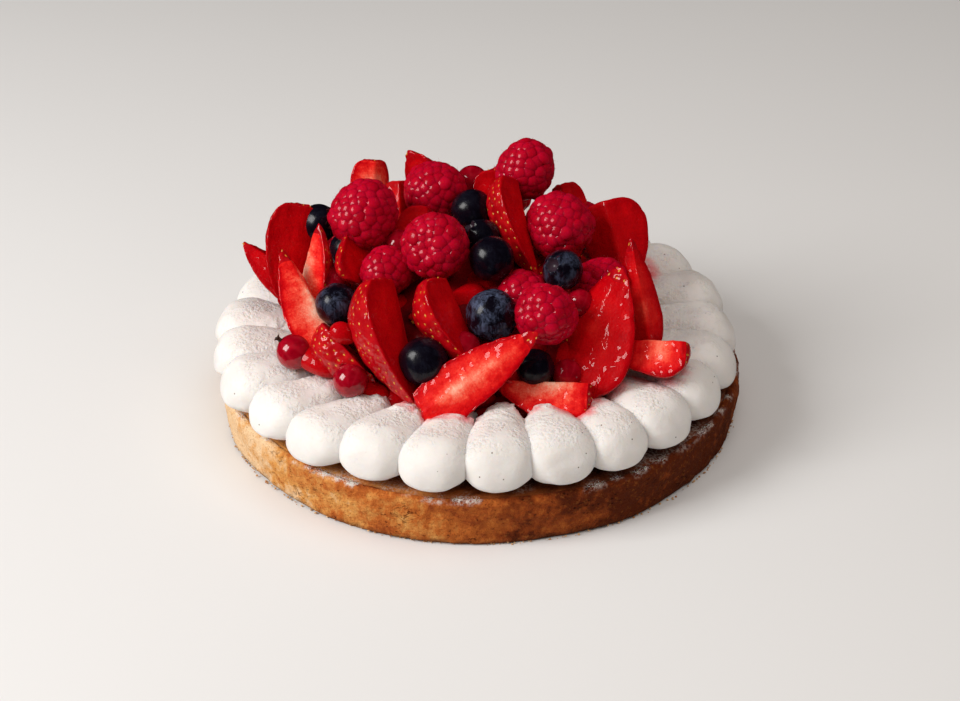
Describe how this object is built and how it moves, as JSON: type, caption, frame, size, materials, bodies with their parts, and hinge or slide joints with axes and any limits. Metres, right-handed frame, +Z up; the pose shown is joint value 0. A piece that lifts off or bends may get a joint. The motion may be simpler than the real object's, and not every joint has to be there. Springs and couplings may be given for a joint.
{
  "type": "fruit tart",
  "caption": "Round shortcrust tart with a border of piped vanilla cream and a heap of cut strawberries, raspberries, blueberries and red currants.",
  "frame": {"origin": "middle of the crust's flat underside", "axes": "+Z up through the tart, -Y towards the front that the picture shows, +X to the right of it"},
  "size_m": [0.202, 0.1992, 0.0972],
  "materials": {
    "crust": "matte, dry and sandy baked pastry",
    "baked_filling": "matte, browned and slightly rough",
    "cream": "satin whipped cream with tiny bubbles and vanilla specks",
    "buried_fruit": "moist dark red fruit in shade",
    "raspberry": "soft sheen on small round beads with fine hairs",
    "blueberry": "dark skin under a pale waxy bloom",
    "currant": "clear glossy skin over juicy flesh",
    "strawberry": "glazed skin with seeds, moist fibrous cut faces"
  },
  "bodies": {
    "root": {"crust": "crust", "baked_filling": "baked_filling", "cream_border": "cream", "fruit_bed": "buried_fruit", "raspberry_01": "raspberry", "raspberry_02": "raspberry", "raspberry_03": "raspberry", "raspberry_04": "raspberry", "raspberry_05": "raspberry", "raspberry_06": "raspberry", "raspberry_07": "raspberry", "raspberry_08": "raspberry", "raspberry_09": "raspberry", "raspberry_10": "raspberry", "raspberry_11": "raspberry", "raspberry_12": "raspberry", "blueberry_01": "blueberry", "blueberry_02": "blueberry", "blueberry_03": "blueberry", "blueberry_04": "blueberry", "blueberry_05": "blueberry", "blueberry_06": "blueberry", "blueberry_07": "blueberry", "blueberry_08": "blueberry", "blueberry_09": "blueberry", "blueberry_10": "blueberry", "blueberry_11": "blueberry", "currant_01": "currant", "currant_02": "currant", "currant_03": "currant", "currant_04": "currant", "currant_05": "currant", "currant_06": "currant", "currant_07": "currant", "currant_08": "currant", "strawberry_01": "strawberry", "strawberry_02": "strawberry", "strawberry_03": "strawberry", "strawberry_04": "strawberry", "strawberry_05": "strawberry", "strawberry_06": "strawberry", "strawberry_07": "strawberry", "strawberry_08": "strawberry", "strawberry_09": "strawberry", "strawberry_10": "strawberry", "strawberry_11": "strawberry", "strawberry_12": "strawberry", "strawberry_13": "strawberry", "strawberry_14": "strawberry", "strawberry_15": "strawberry", "strawberry_16": "strawberry", "strawberry_17": "strawberry", "strawberry_18": "strawberry", "strawberry_19": "strawberry", "strawberry_20": "strawberry", "strawberry_21": "strawberry", "strawberry_22": "strawberry", "strawberry_23": "strawberry", "strawberry_24": "strawberry", "strawberry_25": "strawberry"}
  },
  "joints": []
}
